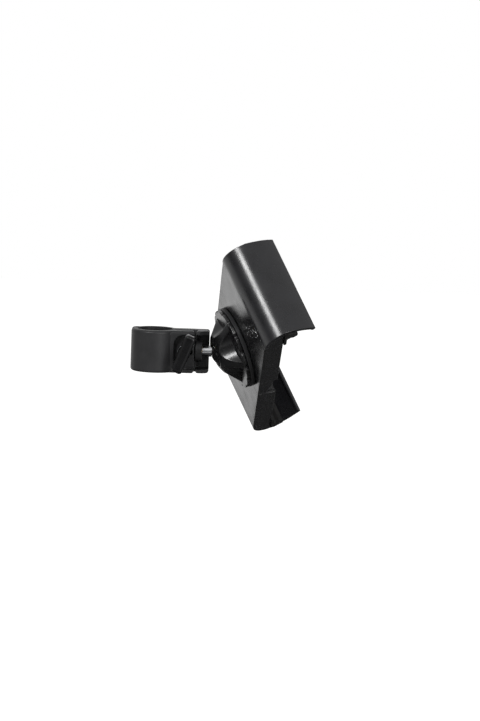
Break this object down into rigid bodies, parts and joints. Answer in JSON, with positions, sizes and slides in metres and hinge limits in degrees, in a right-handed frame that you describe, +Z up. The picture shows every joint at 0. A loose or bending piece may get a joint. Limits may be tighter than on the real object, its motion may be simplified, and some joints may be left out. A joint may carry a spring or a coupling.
{
  "type": "tablet holder with pole clamp",
  "caption": "Tablet holder on a ball joint: a hinged clamp grips an upright pole, and spring-loaded self-centring hooks grip the tablet's long edges.",
  "frame": {"origin": "on the clamped pole's axis, at half the height of the clamp", "axes": "+Z up along the pole, +X from the pole to the ball joint, -Y towards the wing screw's handle"},
  "size_m": [0.1457, 0.2115, 0.1694],
  "materials": {
    "clamp_black": "fine spark-eroded texture",
    "holder_black": "fine spark-eroded texture",
    "grip_black": "satin",
    "ball_black": "smooth",
    "cup_grey": "as moulded",
    "gear_white": "as moulded",
    "rubber": "matt",
    "steel": "zinc plated",
    "stud_steel": "turned and plated",
    "insert_brass": "as turned"
  },
  "bodies": {
    "clamp": {"clamp_body": "clamp_black", "body_liner": "rubber", "hinge_pin": "steel", "captive_nut": "steel", "stud_insert": "insert_brass", "ball_stud": "stud_steel"},
    "swing_jaw": {"clamp_jaw": "clamp_black", "jaw_liner": "rubber"},
    "washer": {"thrust_washer": "steel"},
    "wing": {"wing_handle": "grip_black", "clamp_screw": "steel"},
    "ball": {"ball": "ball_black"},
    "ball_cups": {"front_cup": "cup_grey", "rear_cup": "cup_grey"},
    "holder_base": {"socket_base": "holder_black", "base_screws": "steel", "slide_core": "holder_black", "gear_cover": "holder_black", "gear_cover_screws": "steel", "pinion_axle": "steel"},
    "lock_ring": {"lock_ring": "grip_black"},
    "pinion": {"pinion": "gear_white", "spiral_spring": "steel"},
    "near_half": {"near_shell": "holder_black", "near_jaw": "holder_black", "near_cover": "holder_black", "near_pad": "rubber", "near_rack": "gear_white", "near_rack_screw": "steel", "near_jaw_screws": "steel", "near_cover_screws": "steel"},
    "far_half": {"far_shell": "holder_black", "far_jaw": "holder_black", "far_cover": "holder_black", "far_pad": "rubber", "far_rack": "gear_white", "far_rack_screw": "steel", "far_jaw_screws": "steel", "far_cover_screws": "steel"}
  },
  "joints": [
    {"name": "screw_slide", "type": "slide", "parent": "clamp", "child": "washer", "axis": [0, -1, 0], "range_m": [-0.00075, 0.006]},
    {"name": "wing_turn", "type": "hinge", "parent": "washer", "child": "wing", "pos_m": [0.024, -0.0262, 0], "axis": [0, -1, 0], "range_deg": [-270.1, 2160.1]},
    {"name": "jaw_swing", "type": "hinge", "parent": "clamp", "child": "swing_jaw", "pos_m": [-0.0144, 0.009, 0], "axis": [0, 0, -1], "range_deg": [-0.96, 7.65]},
    {"name": "ball_swivel", "type": "hinge", "parent": "clamp", "child": "ball", "pos_m": [0.0569, 0, 0], "axis": [1, 0, 0], "continuous": true},
    {"name": "ball_tilt", "type": "hinge", "parent": "ball", "child": "ball_cups", "pos_m": [0.0569, 0, 0], "axis": [0, -0.8348, 0.5505], "range_deg": [-51.4, 0]},
    {"name": "holder_spin", "type": "hinge", "parent": "ball_cups", "child": "holder_base", "pos_m": [0.0569, 0, 0], "axis": [0.9011, 0.2387, 0.362], "continuous": true},
    {"name": "lock_ring_turn", "type": "hinge", "parent": "holder_base", "child": "lock_ring", "pos_m": [0.0569, 0, 0], "axis": [0.9011, 0.2387, 0.362], "range_deg": [0, 180]},
    {"name": "near_slide", "type": "slide", "parent": "holder_base", "child": "near_half", "axis": [0.0318, -0.8689, 0.4939], "range_m": [0, 0.02], "stiffness_N_per_m": 300, "springref_m": -0.02},
    {"name": "far_slide", "type": "slide", "parent": "holder_base", "child": "far_half", "axis": [-0.0318, 0.8689, -0.4939], "range_m": [0, 0.02]},
    {"name": "pinion_spin", "type": "hinge", "parent": "holder_base", "child": "pinion", "pos_m": [0.07452, 0.00467, 0.00708], "axis": [0.9011, 0.2387, 0.362], "range_deg": [-114.69, 0]}
  ],
  "couplings": [
    {"joint": "wing_turn", "follows": "screw_slide", "rad_per_m": 6283.2},
    {"joint": "jaw_swing", "follows": "screw_slide", "rad_per_m": 22.222},
    {"joint": "far_slide", "follows": "near_slide", "ratio": 1},
    {"joint": "pinion_spin", "follows": "near_slide", "rad_per_m": -100}
  ]
}
